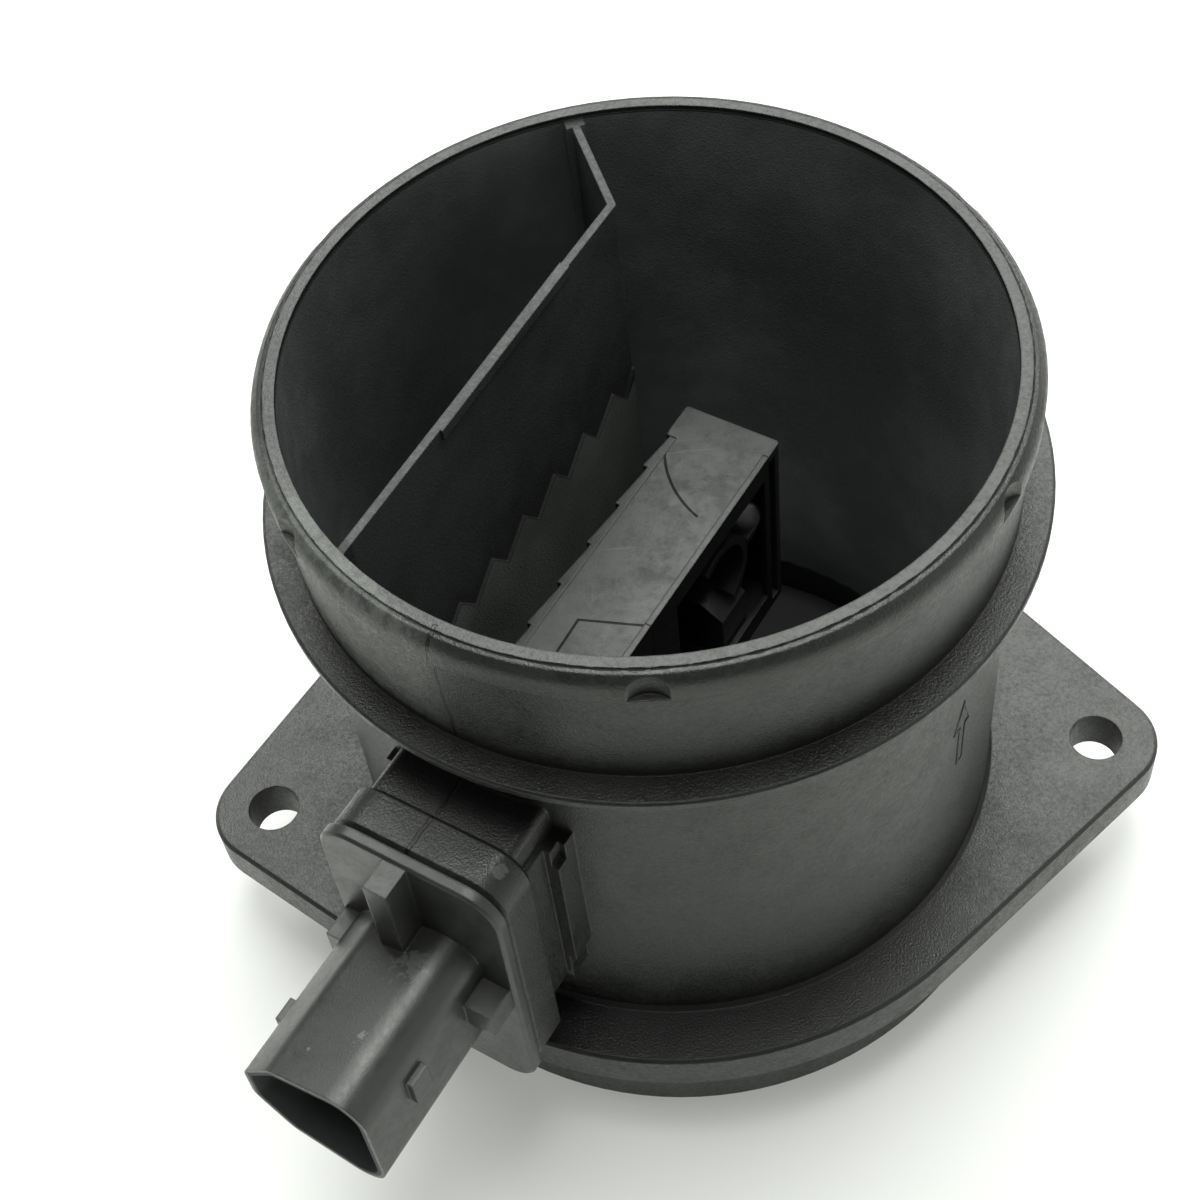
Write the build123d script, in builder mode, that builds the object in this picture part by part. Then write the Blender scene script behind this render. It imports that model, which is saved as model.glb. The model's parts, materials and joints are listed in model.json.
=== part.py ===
from build123d import *
import os

os.makedirs("parts", exist_ok=True)

# Mass airflow sensor, in millimetres.
# Origin: duct axis at the lower face of the flange. +Z is the direction of flow.
# The two flange holes lie along X. The sensor socket points outward at SENSOR_ANGLE.

# Duct
RIM_Z = 82.0              # outlet end of the duct
INLET_Z = -14.0           # inlet end, on which the part stands
BORE_R = 41.0             # bore at the outlet rim
BORE_TAPER = 1.1          # the bore narrows from the rim to the throat
THROAT_R = BORE_R - BORE_TAPER
THROAT_TOP_Z = 58.0
THROAT_LOW_Z = 2.0
INLET_FLARE = 2.7         # the bore widens from the throat to the inlet
INLET_BORE_R = THROAT_R + INLET_FLARE
BODY_WALL = 2.4
BODY_R = THROAT_R + BODY_WALL
WAIST_OUT = 0.5           # foot of the outlet spigot outside the body
SPIGOT_WAIST_R = BODY_R + WAIST_OUT
SPIGOT_FLARE = 0.5
SPIGOT_R = SPIGOT_WAIST_R + SPIGOT_FLARE
BEAD_OUT = 0.7
BEAD_R = SPIGOT_R + BEAD_OUT
BEAD_H = 3.9
BEAD_ROUND = 1.3
LAND_W = 1.4              # flat land on the rim
LAND_R = BORE_R + LAND_W
LAND_STEP = 0.15          # depth of the fine step outside the land
BEVEL_W = 0.6
BEVEL_R = LAND_R + BEVEL_W
RING_OUT = 3.6            # stop ring for the hose
RING_R = SPIGOT_WAIST_R + RING_OUT
RING_TOP_Z = 62.7
RING_T = 1.4
RING_EDGE = 0.3
INLET_WALL = 3.4
INLET_R = INLET_BORE_R + INLET_WALL
INLET_CHAMFER = 1.2

# Half-round pockets in the bead
POCKET_COUNT = 6
POCKET_FIRST = -93.0      # angle of the first pocket
POCKET_R = 3.2
POCKET_OUT = 2.25         # the domes are centred outside the bead
POCKET_AXIS_R = BEAD_R + POCKET_OUT
POCKET_H = 2.0            # straight part, below the dome
POCKET_Z = 78.5           # flat floor of the pockets

# Flange
FLANGE_T = 6.4
FLANGE_R = 49.8
HOLE_X = 56.4
HOLE_Y = -7.3             # the hole line runs in front of the axis
HOLE_R = 3.5
LOBE_R = 8.2
FLANGE_EDGE = 0.45
FOOT_FILLET = 0.6

# Seal in the lower face of the flange
SEAL_OFF = 0.9            # from the inlet spigot to the groove
SEAL_IN_R = INLET_R + SEAL_OFF
SEAL_W = 1.6
SEAL_OUT_R = SEAL_IN_R + SEAL_W
SEAL_GROOVE_H = 1.6
SEAL_CLEARANCE = 0.05
SEAL_PROUD = 0.2

# Sensor axis: outward n, across t, up z
SENSOR_ANGLE = -123.8
LEVEL = Plane((0, 0, 0), x_dir=(1, 0, 0), z_dir=(0, 0, 1)).rotated((0, 0, SENSOR_ANGLE))
FRONT = Plane(LEVEL.origin, x_dir=LEVEL.y_dir, z_dir=LEVEL.x_dir)
SIDE = Plane(LEVEL.origin, x_dir=LEVEL.x_dir, z_dir=-LEVEL.y_dir)

# Boss and collar of the socket
BOSS_HALF = 9.6
BOSS_TOP_Z = 53.0
BOSS_ROUND = 1.2          # rounding of its two upper edges
BOSS_STEP_Z = 48.6        # the lower part of the boss is wider
BOSS_WIDE_HALF = 11.2     # at the tube
BOSS_SIDE_HALF = 10.3     # set back between the tube and the collar
BOSS_LOW_Z = 18.8
WALL_OVERLAP = 2.1        # the boss starts inside the tube wall
BOSS_FROM_N = BODY_R - WALL_OVERLAP
BOSS_LEN = 5.8
COLLAR_BACK_N = BODY_R + BOSS_LEN
COLLAR_T = 5.5
COLLAR_FRONT_N = COLLAR_BACK_N + COLLAR_T
COLLAR_HALF = 11.7
COLLAR_TOP_Z = 53.7
COLLAR_LOW_Z = 13.6
COLLAR_CORNER = 4.6
COLLAR_LOW_CORNER = 2.0
COLLAR_EDGE = 0.5
LEDGE_HALF = 12.1
LEDGE_LOW_Z = 24.0
LEDGE_STEP_Z = 45.6       # above this the ledge is shorter
LEDGE_LEN = 1.7
LEDGE_OUT_N = BODY_R + LEDGE_LEN

# Divider plate in the bore
DIVIDER_TOP_Z = 81.2
DIVIDER_LOW_Z = 14.0
DIVIDER_BEND = (-2.2, 24.9)
DIVIDER_WALL_ANGLE = 98.67        # where its ends meet the bore
DIVIDER_END_ANGLE = 216.0
DIVIDER_IN = 0.6                  # its ends run this far into the wall
DIVIDER_THICK_FROM = (-8.1, 15.7)
DIVIDER_THICK_TO = (-22.9, -7.9)
DIVIDER_T = 1.0
DIVIDER_THICK_T = 1.3
DIVIDER_LIP_H = 1.5       # the thicker part is a lip along the top
TEE_W = 2.4               # widened foot of the divider at the wall
TEE_L = 2.0

# Toothed step on the divider
TOOTH_PITCH = 7.35
TOOTH_COUNT = 7
TOOTH_FIRST = 2.4         # first valley, measured from the bend
TOOTH_RISE = 2.8          # length along the plate from valley to peak
TOOTH_LOW_Z = 50.0
TOOTH_HIGH_Z = 53.7
STEP_T = 0.4

# Front plate, rib and lugs
SOCKET_SEAL_T = 0.4
PLATE_BACK_N = COLLAR_FRONT_N + SOCKET_SEAL_T
PLATE_T = 1.5
PLATE_FRONT_N = PLATE_BACK_N + PLATE_T
PLATE_HALF = 12.1
PLATE_TOP_Z = 54.0
PLATE_LOW_Z = 10.6
PLATE_CORNER = 4.8
PLATE_LOW_CORNER = 4.4
PLATE_EDGE = 0.35
RIB_T0 = -2.6
RIB_T1 = 0.5
RIB_OUT = 3.9
RIB_OUT_N = PLATE_FRONT_N + RIB_OUT
LUG_T0 = 7.6
LUG_T1 = 11.4
LUG_OUT = 4.1
LUG_OUT_N = PLATE_FRONT_N + LUG_OUT
LUG_LOW_Z = 31.0
LUG_TOP_Z = 35.4

# Connector shell, a D lying on its side
SHELL_LEN = 22.5
SHELL_N = PLATE_FRONT_N + SHELL_LEN
SHELL_Z = 32.0
SHELL_HALF_H = 10.7
SHELL_FLAT_T = 7.8
SHELL_LEFT_T = -9.9
SHELL_MID_T = -5.4        # where the long sides turn to the rounded end
SHELL_MID_H = 7.9
SHELL_END_H = 3.0
SHELL_CORNER_RADII = [4.2, 4.2, 3.0, 3.0, 3.0, 3.0]
SHELL_WALL = 1.0
SHELL_BACK_T = 5.0        # from the plate to the bottom of the socket
SHELL_FLOOR_N = PLATE_FRONT_N + SHELL_BACK_T
NUB_SET_BACK = 7.1        # from the mouth to the latch nubs
NUB_LEN = 3.0
NUB_N1 = SHELL_N - NUB_SET_BACK
NUB_N0 = NUB_N1 - NUB_LEN
NUB_H = 4.4
NUB_OUT = 0.9
NUB_RIGHT_Z = 34.4

# Probe
PROBE_TIP_N = -18.7
PROBE_TOP_Z = 51.2
PROBE_LOW_Z = 20.4
PROBE_LEFT_T = -6.7
PROBE_RIGHT_T = 6.6
SOCKET_CLEARANCE = 0.2
PROBE_WALL = 1.3
COVER_T = 0.8             # window cover and lid
SEAM_CLEARANCE = 0.08
ROOT_IN = 1.9             # the solid root block starts inside the bore
ROOT_N = THROAT_R - ROOT_IN
PARTITION_N = 9.0
PARTITION_T = 1.4
COVER_SPLIT_N = 13.4      # window cover on one side, lid on the other
COVER_IN_T = -5.2         # inner face of the channel cover
COVER_OUT_T = -6.1
COVER_N0 = -13.3
COVER_GAP = 0.2
COVER_N1 = ROOT_N - COVER_GAP
RATCHET_OUT = 0.6
RATCHET_PITCH = 6.85
RATCHET_LEN = 5.7
RATCHET_COUNT = 6
TIP_RIGHT_N = -15.8
TIP_ROUND = 0.5
WINDOW_N1 = 7.6
WINDOW_MARGIN_TIP = 1.2
WINDOW_MARGIN_Z = 2.0
GUIDE_N = -4.5            # curved guide wall in the channel
GUIDE_Z = 37.0
GUIDE_R = 6.4
GUIDE_T = 1.1
GUIDE_FROM = 60
GUIDE_SWEEP = 180
RAMP_N0 = -10.3
RAMP_N1 = -4.3
RAMP_TOP_Z = 31.7
RAMP_END_Z = 29.5
RAMP_T = 2.2
INNER_RIGHT_T = 5.6       # inner walls end just below the covers
SHELF_Z = 38.0
SHELF_T = 1.0
SHELF_N1 = -11.5
INLET_HALF_T = 3.2
INLET_LOW_Z = 40.5
INLET_TOP_Z = 48.5

# Electronics
FLOOR_T = 0.6             # web under the base plate
BASE_THICK = 0.8
BASE_GAP = 1.0            # between base plate and chamber walls
BOARD_THICK = 0.7
BOARD_INSET = 0.8
CHIP_SIZE = 6.0
CHIP_THICK = 1.1
CHIP_N = 22.0
CHIP_Z = 41.5
CARRIER_Z = 35.0
CARRIER_HALF_Z = 3.0
CARRIER_N0 = -1.5
CARRIER_N1 = 17.0
CARRIER_THICK = 1.2
FILM_SIZE = 2.6
FILM_THICK = 0.4
FILM_N = 0.6
FILM_CLEARANCE = 0.05
CARRIER_CLEARANCE = 0.1

# Pins
PIN_COUNT = 5
PIN_PITCH = 3.4
PIN_W = 0.8
PIN_SET_BACK = 5.0        # from the mouth to the points of the pins
PIN_TIP_N = SHELL_N - PIN_SET_BACK
PIN_T = 0.6               # across position of the row
PIN_IN = 4.6              # the pins reach this far into the chamber
PIN_IN_N = ROOT_N - PIN_IN
PIN_CLEARANCE = 0.04
PIN_POINT = 0.2

# Air temperature probe
BALL_R = 1.1
BALL_N0 = -0.6
BALL_N1 = 2.7
LEAD_R = 0.25
LEAD_Z = 27.0
LEAD_GAP = 1.1
LEAD_N1 = 15.0
LEAD_CLEARANCE = 0.05

# Positions worked out from the dimensions above
CHAMBER_LOW_Z = PROBE_LOW_Z + PROBE_WALL
CHAMBER_TOP_Z = PROBE_TOP_Z - PROBE_WALL
CHAMBER_N0 = PARTITION_N + PARTITION_T
FRAME_RIGHT_T = PROBE_RIGHT_T - COVER_T
BASE_T0 = COVER_IN_T + FLOOR_T
BOARD_T0 = BASE_T0 + BASE_THICK
BOARD_T1 = BOARD_T0 + BOARD_THICK
CARRIER_T1 = BOARD_T1 + CARRIER_THICK
LEAD_T = BOARD_T1 + LEAD_R
TIP_IN_N = PROBE_TIP_N + PROBE_WALL
DIVIDER_WALL = tuple(Vector(BORE_R + DIVIDER_IN, 0).rotate(Axis.Z, DIVIDER_WALL_ANGLE))
DIVIDER_END = tuple(Vector(BORE_R + DIVIDER_IN, 0).rotate(Axis.Z, DIVIDER_END_ANGLE))


def box_between(start, end, mode=Mode.ADD):
    """Rectangle between two opposite corners, on the current sketch plane."""
    with Locations(((start[0] + end[0]) / 2, (start[1] + end[1]) / 2)):
        Rectangle(abs(end[0] - start[0]), abs(end[1] - start[1]), mode=mode)


def slab_between(start, end, width):
    """Rectangle of the given width laid along the line between two points."""
    run = Vector(*end) - Vector(*start)
    middle = (Vector(*start) + Vector(*end)) / 2
    angle = Vector(1, 0, 0).get_signed_angle(run, Vector(0, 0, 1))
    with Locations(Location((middle.X, middle.Y, 0), (0, 0, angle))):
        Rectangle(run.length, width)


def corners_near(sketch, *points):
    """Sketch corners nearest to the given points."""
    return [sketch.vertices().sort_by_distance(Vertex(*point))[0] for point in points]


# Outline of the connector, a D lying on its side
with BuildLine() as shell_line:
    FilletPolyline(
        (SHELL_FLAT_T, SHELL_Z - SHELL_HALF_H),
        (SHELL_FLAT_T, SHELL_Z + SHELL_HALF_H),
        (SHELL_MID_T, SHELL_Z + SHELL_MID_H),
        (SHELL_LEFT_T, SHELL_Z + SHELL_END_H),
        (SHELL_LEFT_T, SHELL_Z - SHELL_END_H),
        (SHELL_MID_T, SHELL_Z - SHELL_MID_H),
        radius=SHELL_CORNER_RADII,
        close=True,
    )

# Tool for one half-round pocket: an upright dome with a flat floor
with BuildPart() as pocket_tool:
    with BuildSketch(Plane.XZ):
        with BuildLine():
            Polyline((POCKET_AXIS_R, POCKET_Z + POCKET_H + POCKET_R), (POCKET_AXIS_R, POCKET_Z),
                     (POCKET_AXIS_R + POCKET_R, POCKET_Z), (POCKET_AXIS_R + POCKET_R, POCKET_Z + POCKET_H))
            CenterArc((POCKET_AXIS_R, POCKET_Z + POCKET_H), POCKET_R, 0, 90)
        make_face()
    revolve(axis=Axis((POCKET_AXIS_R, 0, 0), (0, 0, 1)))

# Collar of the socket, a block with eased edges
with BuildPart() as collar_block:
    with BuildSketch(FRONT.offset(COLLAR_BACK_N)) as collar_outline:
        box_between((-COLLAR_HALF, COLLAR_LOW_Z), (COLLAR_HALF, COLLAR_TOP_Z))
        top_corners = corners_near(collar_outline, (-COLLAR_HALF, COLLAR_TOP_Z), (COLLAR_HALF, COLLAR_TOP_Z))
        fillet(top_corners, COLLAR_CORNER)
        low_corners = corners_near(collar_outline, (-COLLAR_HALF, COLLAR_LOW_Z), (COLLAR_HALF, COLLAR_LOW_Z))
        fillet(low_corners, COLLAR_LOW_CORNER)
    extrude(amount=COLLAR_T)
    collar_faces = collar_block.faces().sort_by(Axis((0, 0, 0), FRONT.z_dir))
    chamfer(collar_faces[0].edges() + collar_faces[-1].edges(), COLLAR_EDGE)

# Duct housing, first the two-hole flange: a disc and two lobes joined by straight sides
with BuildPart() as duct_housing:
    with BuildSketch(Plane.XY) as flange_outline:
        Circle(FLANGE_R)
        with Locations((-HOLE_X, HOLE_Y), (HOLE_X, HOLE_Y)):
            Circle(LOBE_R)
        make_hull()
    extrude(amount=FLANGE_T)
    flange_rims = duct_housing.edges().group_by(Axis.Z)
    chamfer(flange_rims[0] + flange_rims[-1], FLANGE_EDGE)
    with BuildSketch(Plane.XY):
        Circle((BODY_R + THROAT_R) / 2)
        with Locations((-HOLE_X, HOLE_Y), (HOLE_X, HOLE_Y)):
            Circle(HOLE_R)
    extrude(amount=FLANGE_T, mode=Mode.SUBTRACT)
    # Walls of the duct in one turn: inlet spigot, body, stop ring, outlet spigot with bead
    with BuildSketch(Plane.XZ) as duct_section:
        with BuildLine():
            Polyline(
                (INLET_R - INLET_CHAMFER, INLET_Z),
                (INLET_R, INLET_Z + INLET_CHAMFER),
                (INLET_R, 0),
                (BODY_R + FOOT_FILLET, 0),
                (BODY_R + FOOT_FILLET, FLANGE_T),
                (BODY_R, FLANGE_T + FOOT_FILLET),
                (BODY_R, RING_TOP_Z - RING_T),
                (RING_R, RING_TOP_Z - RING_T),
                (RING_R, RING_TOP_Z),
                (SPIGOT_WAIST_R, RING_TOP_Z),
                (SPIGOT_R, RIM_Z - BEAD_H),
                (BEAD_R, RIM_Z - BEAD_H),
                (BEAD_R, RIM_Z - BEAD_ROUND),
                (BEVEL_R, RIM_Z - 2 * LAND_STEP),
                (LAND_R, RIM_Z - LAND_STEP),
                (LAND_R, RIM_Z),
                (BORE_R, RIM_Z),
                (THROAT_R, THROAT_TOP_Z),
                (THROAT_R, THROAT_LOW_Z),
                (INLET_BORE_R, INLET_Z),
                close=True,
            )
        make_face()
        ring_edges = corners_near(duct_section, (RING_R, RING_TOP_Z), (RING_R, RING_TOP_Z - RING_T))
        chamfer(ring_edges, RING_EDGE)
        chamfer(corners_near(duct_section, (BEAD_R, RIM_Z - BEAD_ROUND)), BEAD_ROUND / 3)
    revolve(axis=Axis.Z)
    # Half-round pockets in the bead
    with PolarLocations(0, POCKET_COUNT, start_angle=POCKET_FIRST):
        add(pocket_tool.part, mode=Mode.SUBTRACT)
    # Boss of the socket, wide below and narrow above, with a stepped ledge at the tube
    with BuildSketch(LEVEL.offset(BOSS_LOW_Z)):
        box_between((BOSS_FROM_N, -BOSS_WIDE_HALF), (LEDGE_OUT_N, BOSS_WIDE_HALF))
        box_between((LEDGE_OUT_N, -BOSS_SIDE_HALF), (COLLAR_BACK_N, BOSS_SIDE_HALF))
    extrude(amount=BOSS_STEP_Z - BOSS_LOW_Z)
    with BuildSketch(FRONT.offset(BOSS_FROM_N)) as boss_outline:
        box_between((-BOSS_HALF, BOSS_STEP_Z), (BOSS_HALF, BOSS_TOP_Z))
        upper_corners = corners_near(boss_outline, (-BOSS_HALF, BOSS_TOP_Z), (BOSS_HALF, BOSS_TOP_Z))
        fillet(upper_corners, BOSS_ROUND)
    extrude(amount=COLLAR_BACK_N - BOSS_FROM_N)
    with BuildSketch(LEVEL.offset(LEDGE_LOW_Z)):
        box_between((BOSS_FROM_N, -LEDGE_HALF), (LEDGE_OUT_N, LEDGE_HALF))
    extrude(amount=LEDGE_STEP_Z - LEDGE_LOW_Z)
    with BuildSketch(LEVEL.offset(LEDGE_STEP_Z)):
        box_between((BOSS_FROM_N, -LEDGE_HALF), (BODY_R, LEDGE_HALF))
    extrude(amount=BOSS_STEP_Z - LEDGE_STEP_Z)
    add(collar_block.part)
    # Opening for the probe, through collar, boss and tube wall
    with BuildSketch(FRONT.offset(ROOT_N)):
        box_between((PROBE_LEFT_T - SOCKET_CLEARANCE, PROBE_LOW_Z - SOCKET_CLEARANCE),
                    (PROBE_RIGHT_T + SOCKET_CLEARANCE, PROBE_TOP_Z + SOCKET_CLEARANCE))
    extrude(amount=COLLAR_FRONT_N - ROOT_N, mode=Mode.SUBTRACT)
    # Divider plate, with a widened foot at the wall and a thicker lip in the middle
    inward = (Vector(*DIVIDER_BEND) - Vector(*DIVIDER_WALL)).normalized()
    tee_end = tuple(Vector(*DIVIDER_WALL) + inward * TEE_L)
    with BuildSketch(Plane.XY.offset(DIVIDER_LOW_Z)):
        slab_between(DIVIDER_WALL, DIVIDER_BEND, DIVIDER_T)
        slab_between(DIVIDER_BEND, DIVIDER_END, DIVIDER_T)
        slab_between(DIVIDER_WALL, tee_end, TEE_W)
        with Locations(DIVIDER_BEND):
            Circle(DIVIDER_T / 2)
    extrude(amount=DIVIDER_TOP_Z - DIVIDER_LOW_Z)
    with BuildSketch(Plane.XY.offset(DIVIDER_TOP_Z - DIVIDER_LIP_H)):
        slab_between(DIVIDER_THICK_FROM, DIVIDER_THICK_TO, DIVIDER_THICK_T)
    extrude(amount=DIVIDER_LIP_H)
    # Toothed step on the face of the divider toward the sensor
    along = (Vector(*DIVIDER_END) - Vector(*DIVIDER_BEND)).normalized()
    away = along.cross(Vector(0, 0, 1))
    step_plane = Plane(Vector(*DIVIDER_BEND), x_dir=along, z_dir=away)
    teeth = []
    for tooth in range(TOOTH_COUNT):
        valley = TOOTH_FIRST + tooth * TOOTH_PITCH
        teeth.append((valley, TOOTH_LOW_Z))
        teeth.append((valley + TOOTH_RISE, TOOTH_HIGH_Z))
    with BuildSketch(step_plane):
        with BuildLine():
            Polyline((0, DIVIDER_LOW_Z), (0, TOOTH_HIGH_Z), *teeth,
                     (TOOTH_FIRST + TOOTH_COUNT * TOOTH_PITCH, TOOTH_LOW_Z),
                     (TOOTH_FIRST + TOOTH_COUNT * TOOTH_PITCH, DIVIDER_LOW_Z), close=True)
        make_face()
    extrude(amount=-(DIVIDER_T / 2 + STEP_T))
    # Groove for the seal in the lower face of the flange
    with BuildSketch(Plane.XY):
        Circle(SEAL_OUT_R)
        Circle(SEAL_IN_R, mode=Mode.SUBTRACT)
    extrude(amount=SEAL_GROOVE_H, mode=Mode.SUBTRACT)
duct_housing.part.label = "duct_housing"

with BuildPart() as flange_seal:
    with BuildSketch(Plane.XY.offset(-SEAL_PROUD)):
        Circle(SEAL_OUT_R - SEAL_CLEARANCE)
        Circle(SEAL_IN_R + SEAL_CLEARANCE, mode=Mode.SUBTRACT)
    extrude(amount=SEAL_PROUD + SEAL_GROOVE_H - SEAL_CLEARANCE)
flange_seal.part.label = "flange_seal"

with BuildPart() as socket_seal:
    with BuildSketch(FRONT.offset(COLLAR_FRONT_N)) as seal_outline:
        box_between((-COLLAR_HALF + COLLAR_EDGE, COLLAR_LOW_Z + COLLAR_EDGE),
                    (COLLAR_HALF - COLLAR_EDGE, COLLAR_TOP_Z - COLLAR_EDGE))
        fillet(seal_outline.vertices(), COLLAR_CORNER - COLLAR_EDGE)
        box_between((PROBE_LEFT_T - SOCKET_CLEARANCE, PROBE_LOW_Z - SOCKET_CLEARANCE),
                    (PROBE_RIGHT_T + SOCKET_CLEARANCE, PROBE_TOP_Z + SOCKET_CLEARANCE),
                    mode=Mode.SUBTRACT)
    extrude(amount=PLATE_BACK_N - COLLAR_FRONT_N)
socket_seal.part.label = "socket_seal"

# Sensor body: plate, connector and probe frame in one moulding
with BuildPart() as sensor_body:
    with BuildSketch(FRONT.offset(PLATE_BACK_N)) as plate_outline:
        box_between((-PLATE_HALF, PLATE_LOW_Z), (PLATE_HALF, PLATE_TOP_Z))
        fillet(plate_outline.vertices().group_by(Axis.Y)[-1], PLATE_CORNER)
        fillet(plate_outline.vertices().group_by(Axis.Y)[0], PLATE_LOW_CORNER)
    extrude(amount=PLATE_FRONT_N - PLATE_BACK_N)
    plate_face = sensor_body.faces().sort_by(Axis((0, 0, 0), FRONT.z_dir))[-1]
    chamfer(plate_face.edges(), PLATE_EDGE)
    # Rib above the connector and a lug on each side of it
    with BuildSketch(FRONT.offset(PLATE_FRONT_N)):
        box_between((RIB_T0, SHELL_Z + SHELL_MID_H), (RIB_T1, PLATE_TOP_Z - PLATE_EDGE))
    extrude(amount=RIB_OUT_N - PLATE_FRONT_N)
    with BuildSketch(FRONT.offset(PLATE_FRONT_N)):
        box_between((LUG_T0, LUG_LOW_Z), (LUG_T1, LUG_TOP_Z))
        box_between((-LUG_T0, LUG_LOW_Z), (-LUG_T1, LUG_TOP_Z))
    extrude(amount=LUG_OUT_N - PLATE_FRONT_N)
    # Connector shell with its latch nubs, then the socket in it
    with BuildSketch(FRONT.offset(PLATE_FRONT_N)):
        add(shell_line.line)
        make_face()
    extrude(amount=SHELL_N - PLATE_FRONT_N)
    with BuildSketch(FRONT.offset(NUB_N0)):
        box_between((SHELL_FLAT_T - SHELL_WALL, NUB_RIGHT_Z - NUB_H / 2),
                    (SHELL_FLAT_T + NUB_OUT, NUB_RIGHT_Z + NUB_H / 2))
        box_between((SHELL_LEFT_T - NUB_OUT, SHELL_Z - NUB_H / 2),
                    (SHELL_LEFT_T + SHELL_WALL, SHELL_Z + NUB_H / 2))
    extrude(amount=NUB_N1 - NUB_N0)
    with BuildSketch(FRONT.offset(SHELL_FLOOR_N)):
        add(shell_line.line)
        make_face()
        offset(amount=-SHELL_WALL, mode=Mode.REPLACE)
    extrude(amount=SHELL_N - SHELL_FLOOR_N, mode=Mode.SUBTRACT)
    # Root block of the probe, in the housing's opening
    with BuildSketch(FRONT.offset(ROOT_N)):
        box_between((PROBE_LEFT_T, PROBE_LOW_Z), (PROBE_RIGHT_T, PROBE_TOP_Z))
    extrude(amount=PLATE_BACK_N - ROOT_N)
    # Probe frame
    with BuildSketch(SIDE.offset(-FRAME_RIGHT_T)):
        box_between((PROBE_TIP_N, PROBE_LOW_Z), (ROOT_N, PROBE_TOP_Z))
    extrude(amount=FRAME_RIGHT_T - COVER_IN_T)
    with BuildSketch(LEVEL.offset(PROBE_LOW_Z)) as tip_outline:
        box_between((PROBE_TIP_N, PROBE_LEFT_T), (COVER_N0 - SEAM_CLEARANCE, 0))
        box_between((PROBE_TIP_N, 0), (TIP_RIGHT_N - SEAM_CLEARANCE, PROBE_RIGHT_T))
        fillet(tip_outline.vertices().group_by(Axis.X)[0], TIP_ROUND)
    extrude(amount=PROBE_TOP_Z - PROBE_LOW_Z)
    # Bypass channel and electronics chamber, both open to the right
    with BuildSketch(SIDE.offset(-PROBE_RIGHT_T)):
        box_between((TIP_IN_N, CHAMBER_LOW_Z), (PARTITION_N, CHAMBER_TOP_Z))
        box_between((CHAMBER_N0, CHAMBER_LOW_Z), (ROOT_N, CHAMBER_TOP_Z))
    extrude(amount=PROBE_RIGHT_T - BASE_T0, mode=Mode.SUBTRACT)
    # Inlet in the tip, then the inner walls of the channel
    with BuildSketch(FRONT.offset(PROBE_TIP_N)):
        box_between((-INLET_HALF_T, INLET_LOW_Z), (INLET_HALF_T, INLET_TOP_Z))
    extrude(amount=PROBE_WALL, mode=Mode.SUBTRACT)
    with BuildSketch(SIDE.offset(-INNER_RIGHT_T)):
        with BuildLine():
            CenterArc((GUIDE_N, GUIDE_Z), GUIDE_R, GUIDE_FROM, GUIDE_SWEEP)
        trace(line_width=GUIDE_T)
        box_between((TIP_IN_N, SHELF_Z), (SHELF_N1, SHELF_Z + SHELF_T))
    extrude(amount=INNER_RIGHT_T - BASE_T0)
    with BuildSketch(FRONT.offset(RAMP_N0)):
        with BuildLine():
            Polyline((BASE_T0, CHAMBER_LOW_Z), (INNER_RIGHT_T, CHAMBER_LOW_Z),
                     (INNER_RIGHT_T, RAMP_END_Z), (RAMP_T, RAMP_TOP_Z), (BASE_T0, RAMP_TOP_Z), close=True)
        make_face()
    extrude(amount=RAMP_N1 - RAMP_N0)
    # Slot in the partition for the chip carrier
    with BuildSketch(FRONT.offset(PARTITION_N)):
        box_between((BOARD_T1 - CARRIER_CLEARANCE, CARRIER_Z - CARRIER_HALF_Z - CARRIER_CLEARANCE),
                    (CARRIER_T1 + CARRIER_CLEARANCE, CARRIER_Z + CARRIER_HALF_Z + CARRIER_CLEARANCE))
    extrude(amount=PARTITION_T, mode=Mode.SUBTRACT)
    # Passages for the leads of the temperature bead
    with BuildSketch(FRONT.offset(PARTITION_N)):
        with Locations((LEAD_T, LEAD_Z)):
            with GridLocations(LEAD_GAP, LEAD_GAP, 1, 2):
                Circle(LEAD_R + LEAD_CLEARANCE)
    extrude(amount=PARTITION_T, mode=Mode.SUBTRACT)
    # Passages for the pins
    with BuildSketch(FRONT.offset(PIN_IN_N)):
        with Locations((PIN_T, SHELL_Z)):
            with GridLocations(PIN_PITCH, PIN_PITCH, 1, PIN_COUNT):
                Rectangle(PIN_W + 2 * PIN_CLEARANCE, PIN_W + 2 * PIN_CLEARANCE)
    extrude(amount=SHELL_FLOOR_N - PIN_IN_N, mode=Mode.SUBTRACT)
sensor_body.part.label = "sensor_body"

# Cover on the left side of the probe, with saw teeth along it
with BuildPart() as channel_cover:
    with BuildSketch(LEVEL.offset(PROBE_LOW_Z)):
        with BuildLine():
            tooth_line = [(COVER_N0, COVER_OUT_T)]
            for tooth in range(RATCHET_COUNT):
                start_n = COVER_N0 + tooth * RATCHET_PITCH
                tooth_line.append((start_n + RATCHET_LEN, COVER_OUT_T - RATCHET_OUT))
                tooth_line.append((start_n + RATCHET_LEN, COVER_OUT_T))
                tooth_line.append((start_n + RATCHET_PITCH, COVER_OUT_T))
            Polyline(*tooth_line, (COVER_N1, COVER_OUT_T), (COVER_N1, COVER_IN_T),
                     (COVER_N0, COVER_IN_T), close=True)
        make_face()
    extrude(amount=PROBE_TOP_Z - PROBE_LOW_Z)
channel_cover.part.label = "channel_cover"

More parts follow.
